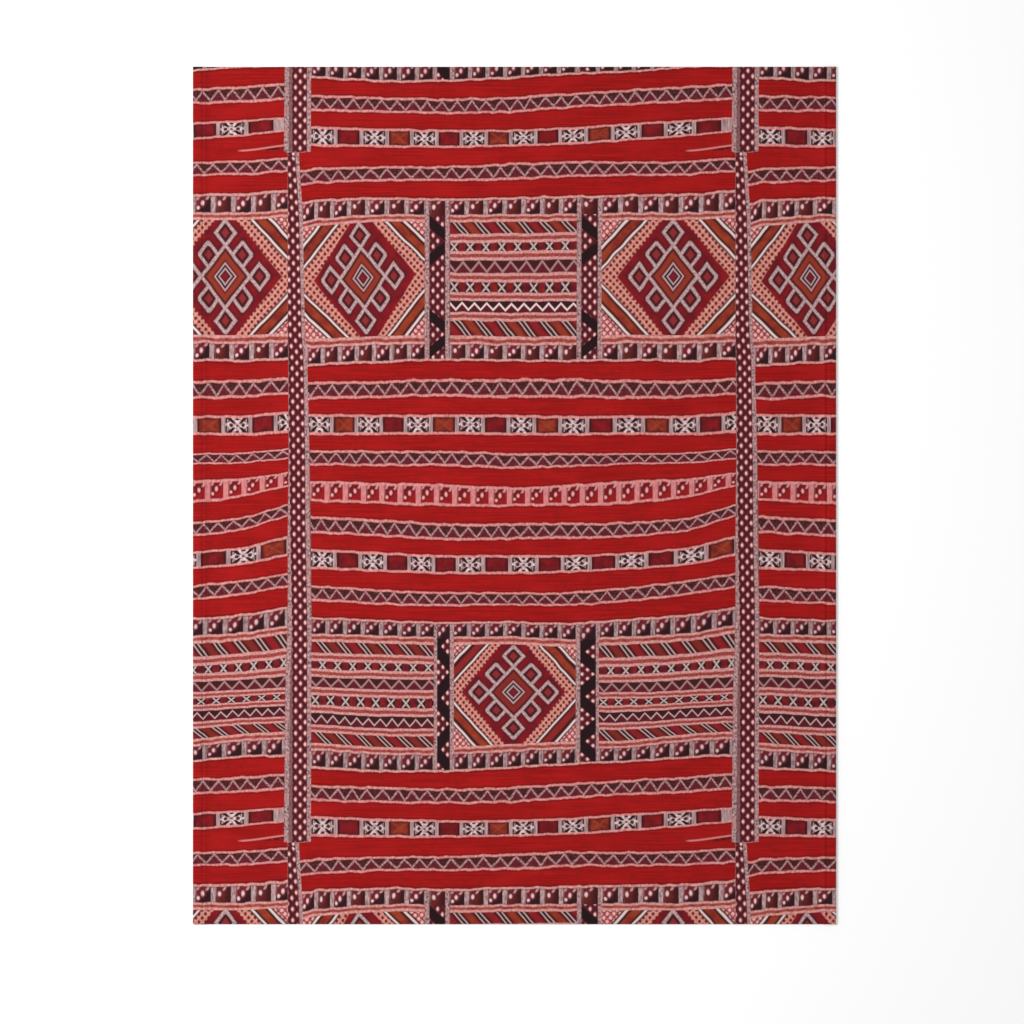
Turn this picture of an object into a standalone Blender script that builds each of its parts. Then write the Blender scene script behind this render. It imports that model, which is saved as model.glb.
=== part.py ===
"""Throw blanket: one cut of printed fleece that lies flat, face up, with its two long sides turned under and sewn.

The blanket lies on the plane z = 0, centred on the origin. X runs across its width, Y along its length and
Z up. Both turned-under sides are part of the same cloth, so the whole throw is one solid.
"""

import math

import bmesh
import bpy

# Driving dimensions, in metres
WIDTH = 0.762
LENGTH = 1.016
CLOTH_THICKNESS = 0.0022
HEM_THICKNESS = 0.0038
HEM_WIDTH = 0.014
HEM_STEP = 0.004
STITCH_FROM_FOLD = 0.0115
STITCH_DEPTH = 0.0008
STITCH_REACH = 0.0016
FIELD_SPACING = 0.064

# Angles in degrees at which the rounded rim has a line of points, from its outermost line to its flat top
RIM_ANGLES = (12.0, 35.0, 62.0, 90.0)

# Colour of the print seen from a step away
FLEECE_COLOR = (0.275, 0.022, 0.025, 1.0)
FLEECE_ROUGHNESS = 0.95

NAME = "throw_blanket"


def smooth_step(value):
    """0 below 0, 1 above 1 and an even S between them."""
    value = min(max(value, 0.0), 1.0)
    return value * value * (3.0 - 2.0 * value)


def cloth_thickness(inset):
    """Thickness at this distance from the folded side: two layers in the hem, and one past its soft step."""
    hem_share = smooth_step((HEM_WIDTH + HEM_STEP - inset) / HEM_STEP)
    stitch_share = smooth_step(1.0 - abs(inset - STITCH_FROM_FOLD) / STITCH_REACH)
    hem_rise = (HEM_THICKNESS - CLOTH_THICKNESS) * hem_share
    return CLOTH_THICKNESS + hem_rise - STITCH_DEPTH * stitch_share


def rim_lines(radius):
    """(inset, fullness) of each line of points round a rim of this radius. Fullness 0 is a sharp edge."""
    outermost = math.cos(math.radians(RIM_ANGLES[0]))
    return [
        (radius * (outermost - math.cos(math.radians(angle))), math.sin(math.radians(angle)))
        for angle in RIM_ANGLES
    ]


def stations(size, margin):
    """(place, fullness) across a size: the margin's lines at both ends, and even steps between them."""
    half = size / 2.0
    innermost = margin[-1][0]
    steps = round((size - 2.0 * innermost) / FIELD_SPACING)
    between = [-half + innermost + (size - 2.0 * innermost) * step / steps for step in range(1, steps)]
    low_end = [(inset - half, fullness) for inset, fullness in margin]
    high_end = [(half - inset, fullness) for inset, fullness in reversed(margin)]
    return low_end + [(place, 1.0) for place in between] + high_end


def side_margin():
    """Lines of a folded side: its rim, the flat of the hem, the sunk stitch line and the hem's soft step."""
    flat_insets = (
        (HEM_THICKNESS / 2.0 + STITCH_FROM_FOLD) / 2.0,
        STITCH_FROM_FOLD - STITCH_REACH,
        STITCH_FROM_FOLD - STITCH_REACH / 2.0,
        STITCH_FROM_FOLD,
        STITCH_FROM_FOLD + STITCH_REACH / 2.0,
        STITCH_FROM_FOLD + STITCH_REACH,
        HEM_WIDTH + HEM_STEP / 2.0,
        HEM_WIDTH + HEM_STEP,
    )
    return rim_lines(HEM_THICKNESS / 2.0) + [(inset, 1.0) for inset in flat_insets]


def laid_sheet(columns, rows):
    """A closed sheet on z = 0: a grid whose copy is lifted to the face, with both rounded off at the rim."""
    sheet = bmesh.new()
    across = len(columns) - 1
    along = len(rows) - 1
    bmesh.ops.create_grid(sheet, x_segments=across, y_segments=along, size=0.5)
    column_of = sheet.verts.layers.int.new("column")
    row_of = sheet.verts.layers.int.new("row")
    for point in sheet.verts:
        point[column_of] = round((point.co.x + 0.5) * across)
        point[row_of] = round((point.co.y + 0.5) * along)
    lifted = bmesh.ops.extrude_face_region(sheet, geom=sheet.faces[:])
    face_points = {item for item in lifted["geom"] if isinstance(item, bmesh.types.BMVert)}
    for point in sheet.verts:
        x, side_fullness = columns[point[column_of]]
        y, end_fullness = rows[point[row_of]]
        half = cloth_thickness(WIDTH / 2.0 - abs(x)) / 2.0
        rise = half * side_fullness * end_fullness
        point.co = (x, y, half + rise if point in face_points else half - rise)
    bmesh.ops.recalc_face_normals(sheet, faces=sheet.faces[:])
    mesh = bpy.data.meshes.new(NAME)
    sheet.to_mesh(mesh)
    sheet.free()
    mesh.shade_smooth()
    return mesh


def printed_fleece():
    """Plain stand-in for the printed fleece."""
    material = bpy.data.materials.new("printed_fleece")
    material.use_nodes = True
    shader = material.node_tree.nodes["Principled BSDF"]
    shader.inputs["Base Color"].default_value = FLEECE_COLOR
    shader.inputs["Roughness"].default_value = FLEECE_ROUGHNESS
    shader.inputs["Metallic"].default_value = 0.0
    return material


def clear_scene():
    for item in list(bpy.data.objects):
        bpy.data.objects.remove(item, do_unlink=True)


def main():
    clear_scene()
    parts = bpy.data.collections.new("Throw blanket")
    bpy.context.scene.collection.children.link(parts)
    columns = stations(WIDTH, side_margin())
    rows = stations(LENGTH, rim_lines(CLOTH_THICKNESS / 2.0))
    blanket = bpy.data.objects.new(NAME, laid_sheet(columns, rows))
    blanket.data.materials.append(printed_fleece())
    parts.objects.link(blanket)


main()
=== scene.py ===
"""Printed fleece throw, laid flat with its print up on a pale floor.

The print shows a traditional red flatweave: zigzag bands, bands of crossed squares, rows of small boxes,
panels with a hooked diamond and striped panels, between upright braids. It repeats both ways.
"""

import math

import bmesh
import bpy
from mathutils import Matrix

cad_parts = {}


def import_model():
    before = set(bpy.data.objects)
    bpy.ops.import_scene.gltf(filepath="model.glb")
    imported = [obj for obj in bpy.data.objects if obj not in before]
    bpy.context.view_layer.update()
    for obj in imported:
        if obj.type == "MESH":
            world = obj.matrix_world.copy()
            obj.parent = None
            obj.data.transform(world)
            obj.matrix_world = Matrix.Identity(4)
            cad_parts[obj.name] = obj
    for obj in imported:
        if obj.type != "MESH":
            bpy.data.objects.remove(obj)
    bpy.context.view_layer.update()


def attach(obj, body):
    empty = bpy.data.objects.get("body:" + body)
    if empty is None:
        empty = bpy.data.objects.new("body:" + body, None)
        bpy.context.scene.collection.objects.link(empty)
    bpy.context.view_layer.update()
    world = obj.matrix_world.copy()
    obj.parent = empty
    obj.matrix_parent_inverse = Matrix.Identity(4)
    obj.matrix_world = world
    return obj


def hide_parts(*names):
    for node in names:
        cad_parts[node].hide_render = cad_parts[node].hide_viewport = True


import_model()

# Throw, in millimetres, as its solid is made
WIDTH = 762.0
LENGTH = 1016.0
CLOTH_THICKNESS = 2.2
HEM_THICKNESS = 3.8
HEM_WIDTH = 14.0
HEM_STEP = 4.0
STITCH_FROM_FOLD = 11.5
STITCH_DEPTH = 0.8
STITCH_REACH = 1.6
STITCH_LENGTH = 3.4
RIM_ANGLES = (12.0, 35.0, 62.0, 90.0)
PUCKER_HEIGHT = 0.16
WAVE_HEIGHT = 0.12

# Mesh: size of its cells, least distance between two rows, how clear of the hems its columns stay, its lines
# in the flat of a hem, and the places across and down where its rows and columns are measured. Last are the
# places across where a row is tested for being on the throw.
MESH_STEP = 6.0
ROW_GAP = 1.5
SIDE_GAP = 4.0
HEM_LINES = (4.0, 7.0)
ROW_SAMPLES = (-330.0, -120.0, 0.0, 120.0, 230.0, 350.0)
COLUMN_SAMPLES = (300.0, 700.0)
ROW_TESTS = range(-390, 391, 10)

# Baked picture, in shares of it: start and width of the face's part and of the underside's, start of the
# rims' part with each rim's step and width, and start and height of all of them
BAKED_FACE = (0.002, 0.858)
BAKED_UNDERSIDE = (0.885, 0.112)
BAKED_RIMS = (0.863, 0.005, 0.003)
BAKED_ALONG = (0.002, 0.996)

# Repeat of the print: its size, the left and top edge of the whole one that the throw shows, and how far
# left of a repeat its long braid may reach
REPEAT_WIDTH = 530.4
REPEAT_LENGTH = 817.6
REPEAT_LEFT = -271.3
REPEAT_TOP = 402.5
BRAID_OVERHANG = 10.0

# Printed line, and the ground that belongs to a band past its outer lines
LINE_WIDTH = 3.0
MARGIN = 3.6

# Bands down the repeat: depth of the upper line at eight places across, then the band's height at five
# places across. Box rows run from their outer line to their first braided line.
STATIONS = (40.0, 113.5, 186.5, 259.5, 333.0, 406.0, 479.0, 522.0)
HEIGHT_STATIONS = (40.0, 150.0, 280.0, 410.0, 522.0)
BANDS = {
    "zigzag_1": ((15.5, 14.0, 13.5, 11.0, 8.0, 8.5, 7.0, 4.0), (16.0, 14.5, 16.5, 14.5, 15.0)),
    "boxes_1": ((53.0, 50.5, 52.0, 50.5, 49.0, 47.5, 46.0, 42.5), (22.5, 19.5, 20.5, 21.3, 23.6)),
    "boxes_2": ((225.5, 222.5, 221.5, 223.0, 223.0, 221.0, 221.5, 219.5), (22.0, 21.0, 19.3, 21.0, 21.3)),
    "zigzag_2": ((269.5, 268.0, 266.0, 266.0, 266.0, 267.5, 267.5, 265.0), (17.3, 17.3, 19.0, 18.5, 17.3)),
    "squares_1": ((307.5, 308.5, 308.0, 308.5, 309.5, 309.5, 309.0, 305.5), (21.9, 20.5, 21.0, 19.6, 21.9)),
    "zigzag_3": ((350.5, 351.0, 351.0, 353.5, 353.5, 353.5, 352.5, 348.5), (15.0, 15.3, 15.4, 11.5, 11.0)),
    "pink_boxes": ((387.0, 389.0, 391.0, 394.0, 391.5, 386.5, 383.5, 377.5), (20.8, 22.5, 20.3, 24.0, 15.6)),
    "zigzag_4": ((428.5, 432.5, 437.0, 437.0, 436.5, 435.5, 429.0, 417.0), (17.3, 17.0, 16.3, 15.0, 12.5)),
    "squares_2": ((467.5, 471.5, 474.5, 474.5, 474.5, 471.5, 464.5, 454.5), (20.8, 19.6, 19.4, 17.4, 20.2)),
    "zigzag_5": ((511.0, 515.5, 518.0, 518.0, 518.0, 512.0, 504.0, 497.0), (15.6, 14.7, 13.3, 15.0, 15.0)),
    "boxes_3": ((548.0, 551.0, 553.5, 552.5, 554.5, 550.0, 544.5, 537.5), (19.6, 18.4, 18.2, 20.8, 21.9)),
    "boxes_4": ((703.5, 708.0, 708.5, 705.0, 701.5, 700.0, 692.5, 690.0), (21.9, 20.5, 20.0, 17.9, 20.8)),
    "zigzag_6": ((747.3, 749.2, 751.0, 749.5, 745.0, 740.5, 737.0, 733.5), (16.2, 15.5, 15.8, 15.3, 16.5)),
    "squares_3": ((784.3, 786.8, 788.3, 788.0, 785.5, 780.5, 776.5, 773.5), (20.8, 18.8, 17.3, 18.0, 15.6)),
    "stray_line": ((812.4, 812.4, 812.4, 812.4, 812.4, 812.4, 811.6, 806.2), (2.0, 2.0, 2.0, 2.0, 2.0)),
}

# How much lower two of the bands start beside the long braid
LEFT_DROP = {"zigzag_1": 2.6, "boxes_1": 3.4}
LEFT_DROP_REACH = 24.0

# Gap between the two braided lines beside each row of boxes, and what it counts for in shares of the row
BRAID_SHARE = 0.3
BRAID_GAP = {"boxes_1": 6.0, "boxes_2": 7.4, "boxes_3": 6.6, "boxes_4": 6.2}

# Zigzags: places of the first, the eleventh and the twenty-first peak
ZIGZAGS = {
    "zigzag_1": (43.9, 235.3, 426.1),
    "zigzag_2": (38.4, 216.4, 401.7),
    "zigzag_3": (42.1, 214.6, 398.7),
    "zigzag_4": (42.1, 216.4, 397.4),
    "zigzag_5": (43.3, 217.0, 399.3),
    "zigzag_6": (43.9, 220.7, 397.4),
}

# Bands of squares: centre of each crossed square, then which squares between them are rust
CROSSED_SQUARES = {
    "squares_1": ((-18.0, 40.2, 98.8, 156.7, 218.8, 279.2, 340.9, 406.7, 473.5, 534.0), 1),
    "squares_2": ((-18.0, 43.3, 103.6, 160.9, 218.2, 282.2, 343.8, 409.7, 480.4, 552.3), 2),
    "squares_3": ((-18.0, 43.9, 105.5, 164.6, 223.1, 281.6, 340.2, 403.6, 466.3, 536.4), 0),
}

# Where the last strip of the third band starts, in squares from its first one
THIRD_BAND_END = 8.75

# What the print adds to its counts, so that one material shows several kinds: to squares for each kind of
# rust ones, to the boxes beside tall panels, and to those beside low panels and the pink ones
RUST_COUNT = 20.0
TALL_COUNT = 20.0
LOW_COUNT = 100.0

# Long braid at the repeat's left edge: depth, then its left strip's outer edge, its net's two edges and its
# right strip's outer edge. Near the end of the repeat its edges step to where they start.
BRAID_STEP = (812.8, 814.0)
LONG_BRAID = (
    (0.0, (2.5, 3.0, 11.5, 16.0)),
    (73.0, (2.5, 3.0, 16.0, 20.5)),
    (212.0, (2.5, 3.0, 19.0, 23.0)),
    (235.0, (3.0, 3.6, 21.0, 25.5)),
    (350.0, (3.6, 4.4, 23.0, 28.5)),
    (442.0, (2.5, 5.5, 23.5, 30.0)),
    (546.0, (2.5, 7.5, 25.5, 31.0)),
    (638.0, (-0.5, 8.0, 25.5, 30.5)),
    (BRAID_STEP[0], (-2.0, 8.0, 25.0, 30.0)),
    (BRAID_STEP[1], (2.5, 3.0, 11.5, 16.0)),
    (817.6, (2.5, 3.0, 11.5, 16.0)),
)

# Two short braids beside the middle panel: depth, then each one's strip and net edges from left to right
SHORT_BRAIDS = (
    (0.0, (170.0, 175.0, 191.5, 197.0, 344.5, 350.2, 369.0, 373.0)),
    (45.0, (164.8, 170.7, 189.0, 195.0, 345.2, 351.0, 370.0, 374.3)),
    (250.0, (164.8, 170.7, 189.0, 195.0, 344.6, 350.4, 369.4, 374.3)),
    (545.0, (175.6, 179.6, 194.5, 199.5, 343.6, 349.4, 367.5, 371.2)),
    (730.0, (175.6, 179.6, 194.5, 199.5, 343.6, 349.4, 367.5, 371.2)),
    (817.6, (170.0, 175.0, 191.5, 197.0, 344.5, 350.2, 369.0, 373.0)),
)

# Hooked diamonds: centre across and down, half size of the inner diamond, and how it leans
DIAMONDS = {
    "left": (91.4, 144.7, 26.8, 36.2, 0.07),
    "right": (459.3, 143.2, 28.6, 37.2, 0.0),
    "middle": (270.1, 635.6, 29.2, 30.4, 0.0),
}

# Striped panels: place of the first small cross, from cross to cross, then how far down the panel its five
# braided lines lie, first at its left side and then at its right side
STRIPED_PANELS = {
    "left": (43.9, 17.9, (0.156, 0.316, 0.488, 0.662, 0.849), (0.158, 0.305, 0.482, 0.657, 0.848)),
    "middle": (199.9, 18.8, (0.152, 0.303, 0.487, 0.652, 0.823), (0.145, 0.294, 0.487, 0.656, 0.819)),
    "right": (385.3, 17.9, (0.186, 0.350, 0.520, 0.655, 0.836), (0.208, 0.392, 0.586, 0.699, 0.871)),
}

# The five braided lines of an evenly striped panel, as shares of its height
BRAIDED_LINES = (0.151, 0.296, 0.475, 0.6385, 0.8275)

# Rows of boxes over or under the left, middle and right panel: where the first box, the fourth box and the
# place after the seventh one start
SEGMENTS = ("left", "middle", "right")
BOX_STARTS = {
    "boxes_1": ((19.5, 77.4, 169.5), (194.5, 262.1, 351.1), (375.5, 447.4, 542.5)),
    "boxes_2": ((26.2, 86.6, 169.5), (196.3, 262.1, 349.9), (375.5, 445.6, 540.1)),
    "boxes_3": ((31.1, 93.9, 181.7), (198.1, 262.7, 348.7), (372.5, 437.7, 535.2)),
    "boxes_4": ((31.1, 94.5, 179.2), (200.0, 262.7, 347.5), (372.5, 437.1, 531.6)),
}

# Pink boxes: start of the first box, and from box to box
PINK_BOXES = (30.5, 21.6)

# Lone box in a short braid: how much of a box and its strip it shows, and where it ends down the row
LONE_BOX_SHARE = 0.76
LONE_BOX_FOOT = 0.84

# Cells of the nets, and the strips beside them
NET_COLUMN = 5.6
NET_ROW = 13.1
NET_TOP = 2.9
WIDE_STRIP = 6.0
NARROW_STRIP = 5.5

# Black waves in the nets of the short braids, by the block of panels and the braid's first edge: printed
# area, depth of a crest, and from crest to crest
WAVES = {
    ("tall", 0): ("slow_wave_net", 100.9, 110.0),
    ("tall", 4): ("slow_wave_net", 100.9, 110.0),
    ("low", 0): ("quick_wave_net", 611.8, 61.1),
    ("low", 4): ("quick_wave_net", 614.1, 53.0),
}

# Thread colours that several prints share, 0 to 255
EDGE_RED = (126, 18, 20)
GREY_ROSE = (186, 152, 154)
PALE = (232, 208, 204)
BLACK = (38, 20, 24)

# Grains of the print's noises, in grains to a metre across, along and up
SPECKLE = (420.0, 420.0, 1.0)
HATCH = (420.0, 150.0, 1.0)
TWIST = (380.0, 120.0, 1.0)

# How much of the light a printed colour gives back, so that the render matches the picture's tones
PRINT_STRENGTH = 0.93


def smooth_step(value):
    """0 below 0, 1 above 1 and an even S between them."""
    value = min(max(value, 0.0), 1.0)
    return value * value * (3.0 - 2.0 * value)


class Curve:
    """A smooth line through values at known places, straight past its two ends."""

    def __init__(self, places, values):
        self.places = places
        self.values = values
        last = len(places) - 1
        self.slopes = []
        for step in range(len(places)):
            low = max(step - 1, 0)
            high = min(step + 1, last)
            self.slopes.append((values[high] - values[low]) / (places[high] - places[low]))

    def at(self, place):
        if place <= self.places[0]:
            return self.values[0] + (place - self.places[0]) * self.slopes[0]
        if place >= self.places[-1]:
            return self.values[-1] + (place - self.places[-1]) * self.slopes[-1]
        step = 0
        while place > self.places[step + 1]:
            step += 1
        span = self.places[step + 1] - self.places[step]
        share = (place - self.places[step]) / span
        rise = smooth_step(share)
        leave = share * (1.0 - share) ** 2 * span
        arrive = share * share * (share - 1.0) * span
        return (
            self.values[step] * (1.0 - rise)
            + self.values[step + 1] * rise
            + self.slopes[step] * leave
            + self.slopes[step + 1] * arrive
        )


UPPER_LINES = {name: Curve(STATIONS, depths) for name, (depths, heights) in BANDS.items()}
BAND_HEIGHTS = {name: Curve(HEIGHT_STATIONS, heights) for name, (depths, heights) in BANDS.items()}
ZIGZAG_COUNTS = {name: Curve(peaks, (0.0, 10.0, 20.0)) for name, peaks in ZIGZAGS.items()}
BOX_COUNTS = {
    (band, segment): Curve(starts, (0.0, 3.0, 7.0))
    for band, rows in BOX_STARTS.items()
    for segment, starts in zip(SEGMENTS, rows)
}


def edges_at(table, depth):
    """Edges of a braid at this depth of the repeat."""
    for (upper, upper_edges), (lower, lower_edges) in zip(table, table[1:]):
        if depth <= lower:
            share = (depth - upper) / (lower - upper)
            return [a + (b - a) * share for a, b in zip(upper_edges, lower_edges)]
    return list(table[-1][1])


def band_depth(band, share, across):
    """Depth in the repeat of a place in a band: share 0 is its upper line and 1 its lower line."""
    drop = LEFT_DROP.get(band, 0.0) * smooth_step((STATIONS[0] - across) / LEFT_DROP_REACH)
    return UPPER_LINES[band].at(across) + drop + share * BAND_HEIGHTS[band].at(across)


def locate(x, down):
    """Which repeat holds this place, and where in it: (repeat across, across, repeat down, depth)."""
    repeat_down = math.floor(down / REPEAT_LENGTH)
    depth = down - repeat_down * REPEAT_LENGTH
    repeat_across = math.floor((x - REPEAT_LEFT + BRAID_OVERHANG) / REPEAT_WIDTH)
    across = x - REPEAT_LEFT - repeat_across * REPEAT_WIDTH
    if across < edges_at(LONG_BRAID, depth)[0]:
        repeat_across -= 1
        across += REPEAT_WIDTH
    return repeat_across, across, repeat_down, depth


def band_rows(band):
    """Rows of the mesh along a band's two outer lines, with the ground that belongs to it."""
    return [(band, 0.0, -MARGIN, band, None), (band, 1.0, MARGIN, "ground", None)]


def panel_rows(over, under, block):
    """Rows of the mesh along the boxes over a block of panels and along the boxes under it."""
    half_line = LINE_WIDTH / 2.0
    return [
        (over, 0.0, -MARGIN, over, None),
        (over, 0.0, half_line, over, block),
        (over, 1.0, 0.0, over, block),
        (over, 1.0, BRAID_GAP[over] + half_line, "panel", block),
        (under, 0.0, -BRAID_GAP[under] - half_line, under, block),
        (under, 0.0, 0.0, under, block),
        (under, 1.0, -half_line, under, None),
        (under, 1.0, MARGIN, "ground", None),
    ]


# Rows of the mesh down one repeat: band, share of its height, shift, what is printed below the row, and the
# block of panels that the row is in. A row without a band is straight.
ROW_PLAN = (
    band_rows("zigzag_1")
    + panel_rows("boxes_1", "boxes_2", "tall")
    + band_rows("zigzag_2")
    + band_rows("squares_1")
    + band_rows("zigzag_3")
    + band_rows("pink_boxes")
    + band_rows("zigzag_4")
    + band_rows("squares_2")
    + band_rows("zigzag_5")
    + panel_rows("boxes_3", "boxes_4", "low")
    + band_rows("zigzag_6")
    + band_rows("squares_3")
    + [
        ("stray_line", 0.0, -2.0, "stray_line", None),
        (None, BRAID_STEP[0], 0.0, "ground", None),
        (None, BRAID_STEP[1], 0.0, "ground", None),
    ]
)


def row_depth(row, across):
    band, share, shift = row[:3]
    if band is None:
        return share + shift
    return band_depth(band, share, across) + shift


def row_down(row, repeat_down, x):
    """How far below the repeat's top edge a row lies at this x. It crosses the long braid straight."""
    start = repeat_down * REPEAT_LENGTH
    nominal = row_depth(row, REPEAT_WIDTH / 2.0)
    edges = edges_at(LONG_BRAID, min(max(nominal, 0.0), REPEAT_LENGTH))
    repeat_across = math.floor((x - REPEAT_LEFT + BRAID_OVERHANG) / REPEAT_WIDTH)
    across = x - REPEAT_LEFT - repeat_across * REPEAT_WIDTH
    if across < edges[0]:
        return start + row_depth(row, across + REPEAT_WIDTH)
    if across > edges[3]:
        return start + row_depth(row, across)
    share = (across - edges[0]) / (edges[3] - edges[0])
    at_left = row_depth(row, edges[0] + REPEAT_WIDTH)
    at_right = row_depth(row, edges[3])
    return start + at_left + (at_right - at_left) * share


def rim_lines(radius):
    """(inset, fullness) of each line of points round a rim of this radius. Fullness 0 is a sharp edge."""
    outermost = math.cos(math.radians(RIM_ANGLES[0]))
    return [
        (radius * (outermost - math.cos(math.radians(angle))), math.sin(math.radians(angle)))
        for angle in RIM_ANGLES
    ]


def straight(place):
    """Straight line of the mesh."""
    return lambda along: place


def partway(first, second, share):
    """Line at this share of the way from one line to another."""
    return lambda along: first(along) * (1.0 - share) + second(along) * share


def printed_row(row, repeat_down, highest, lowest):
    """Line of a row of the print, kept on the throw."""
    return lambda x: min(max(row_down(row, repeat_down, x), highest), lowest)


def mesh_lines(start, end, margin, lines, first_print, samples):
    """Lines of the mesh from one edge of the throw to the other, as (line, fullness, print past it).

    They are the margin's lines at both ends, the lines of the print, and even steps between those.
    """
    inner = margin[-1][0]
    lines = [(straight(start + inner), first_print), *lines]
    lines.append((straight(end - inner), lines[-1][1]))
    found = [(straight(start + inset), fullness, first_print) for inset, fullness in margin[:-1]]
    for (low, printed), (high, _) in zip(lines, lines[1:]):
        size = sum(high(place) - low(place) for place in samples) / len(samples)
        steps = max(1, round(size / MESH_STEP))
        found += [(partway(low, high, step / steps), 1.0, printed) for step in range(steps)]
    found += [(straight(end - inset), fullness, lines[-1][1]) for inset, fullness in reversed(margin)]
    return found


def mesh_rows():
    """Rows from the top end to the bottom end. A row's line gives how far below the repeat's top it is."""
    top = REPEAT_TOP - LENGTH / 2.0
    bottom = REPEAT_TOP + LENGTH / 2.0
    rim = rim_lines(CLOTH_THICKNESS / 2.0)
    highest = top + rim[-1][0] + ROW_GAP
    lowest = bottom - rim[-1][0] - ROW_GAP
    lines = []
    first_print = ("ground", None)
    for repeat_down in (-1, 0, 1):
        for row in ROW_PLAN:
            reach = [row_down(row, repeat_down, x) for x in ROW_TESTS]
            if max(reach) < highest:
                first_print = row[3:]
            elif min(reach) <= lowest:
                line = printed_row(row, repeat_down, highest + ROW_GAP * len(lines), lowest)
                lines.append((line, row[3:]))
    return mesh_lines(top, bottom, rim, lines, first_print, ROW_SAMPLES)


def side_margin():
    """(inset, fullness) of a folded side's lines: its rim, the hem, the sunk stitch line, the soft step."""
    flat_insets = (
        *HEM_LINES,
        STITCH_FROM_FOLD - STITCH_REACH,
        STITCH_FROM_FOLD - STITCH_REACH / 2.0,
        STITCH_FROM_FOLD,
        STITCH_FROM_FOLD + STITCH_REACH / 2.0,
        STITCH_FROM_FOLD + STITCH_REACH,
        HEM_WIDTH,
        HEM_WIDTH + HEM_STEP / 2.0,
        HEM_WIDTH + HEM_STEP,
    )
    return rim_lines(HEM_THICKNESS / 2.0) + [(inset, 1.0) for inset in flat_insets]


def braid_column(table, edge, repeat_across):
    """Line of the mesh along an edge of a braid."""

    def place(down):
        depth = down - math.floor(down / REPEAT_LENGTH) * REPEAT_LENGTH
        return REPEAT_LEFT + repeat_across * REPEAT_WIDTH + edges_at(table, depth)[edge]

    return place


def mesh_columns():
    """Columns from the left side to the right side. A column's line gives its x this far down."""
    margin = side_margin()
    half = WIDTH / 2.0
    plan = [(LONG_BRAID, edge) for edge in range(4)] + [(SHORT_BRAIDS, edge) for edge in range(8)]
    lines = []
    for repeat_across in (-1, 0, 1):
        for table, edge in plan:
            column = braid_column(table, edge, repeat_across)
            if abs(column(0.0)) < half - margin[-1][0] - SIDE_GAP:
                lines.append((column, None))
    return mesh_lines(-half, half, margin, lines, None, COLUMN_SAMPLES)


def cloth_thickness(inset):
    """Thickness at this distance from the folded side: two layers in the hem, and one past its soft step."""
    hem_share = smooth_step((HEM_WIDTH + HEM_STEP - inset) / HEM_STEP)
    stitch_share = smooth_step(1.0 - abs(inset - STITCH_FROM_FOLD) / STITCH_REACH)
    hem_rise = (HEM_THICKNESS - CLOTH_THICKNESS) * hem_share
    return CLOTH_THICKNESS + hem_rise - STITCH_DEPTH * stitch_share


def ripple(x, y, inset):
    """Small rise and fall of the laid cloth: slight puckers along the hem, and a faint wave in the field."""
    pucker = math.sin(y / 3.7 + 1.3 * math.sin(y / 21.0)) * math.sin(y / 9.1 + x / 60.0)
    near_stitch = smooth_step(1.0 - abs(inset - STITCH_FROM_FOLD) / 16.0)
    wave = math.sin(x / 41.0 + 1.7 * math.sin(y / 77.0)) * math.sin(y / 53.0 - x / 140.0)
    return PUCKER_HEIGHT * pucker * near_stitch + WAVE_HEIGHT * wave


def squares_place(band, across):
    """How many crossed squares this place is from the first one, and the print's offset for rust squares.

    The third band ends in a strip that runs on to the long braid.
    """
    centres, rust = CROSSED_SQUARES[band]
    step = 0
    while step < len(centres) - 2 and across > centres[step + 1]:
        step += 1
    count = step + (across - centres[step]) / (centres[step + 1] - centres[step])
    if band == "squares_3":
        count = min(count, THIRD_BAND_END)
    return count + RUST_COUNT * rust


def band_place(band, across, depth):
    """Share of the way down a band."""
    return (depth - band_depth(band, 0.0, across)) / BAND_HEIGHTS[band].at(across)


def box_place(band, segment, across, depth):
    """Boxes counted from the panel's left side, and the share of the box row's height.

    The row's two braided lines lie past share 1 over a panel and before share 0 under one. Beside tall
    panels every other box has one knot. It is the first one in the row under the middle panel.
    """
    kind = TALL_COUNT if band in ("boxes_1", "boxes_2") else LOW_COUNT
    count = BOX_COUNTS[band, segment].at(across) + kind
    if (band, segment) == ("boxes_2", "middle"):
        count += 1.0
    share = band_place(band, across, depth)
    gap = BRAID_GAP[band]
    if band in ("boxes_1", "boxes_3") and share > 1.0:
        share = 1.0 + BRAID_SHARE * (depth - band_depth(band, 1.0, across)) / gap
    if band in ("boxes_2", "boxes_4") and share < 0.0:
        share = BRAID_SHARE * (depth - band_depth(band, 0.0, across)) / gap
    return count, share


def stripes_place(block, segment, across, depth, left, right):
    """Crosses counted from the first one, and how far down an evenly striped panel the place would be.

    It starts at the lowest line above the panel and ends at the highest line below it.
    """
    over, under = ("boxes_1", "boxes_2") if block == "tall" else ("boxes_3", "boxes_4")
    top = band_depth(over, 1.0, across) + BRAID_GAP[over]
    bottom = band_depth(under, 0.0, across) - BRAID_GAP[under]
    first_cross, pitch, at_left, at_right = STRIPED_PANELS[segment]
    rightward = (across - left) / (right - left)
    lines = [a + (b - a) * rightward for a, b in zip(at_left, at_right)]
    down = Curve((0.0, *lines, 1.0), (0.0, *BRAIDED_LINES, 1.0)).at((depth - top) / (bottom - top))
    return (across - first_cross) / pitch, down


def diamond_place(name, across, depth):
    """Place in a hooked diamond, in half sizes of its inner diamond from its centre."""
    middle_across, middle_depth, half_width, half_height, lean = DIAMONDS[name]
    aside = across - middle_across
    below = depth - middle_depth
    return (aside - lean * below) / half_width, (below + lean * aside) / half_height


def strip_place(edge, width):
    return lambda a, d: ((a - edge) / width, d / 10.0)


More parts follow.
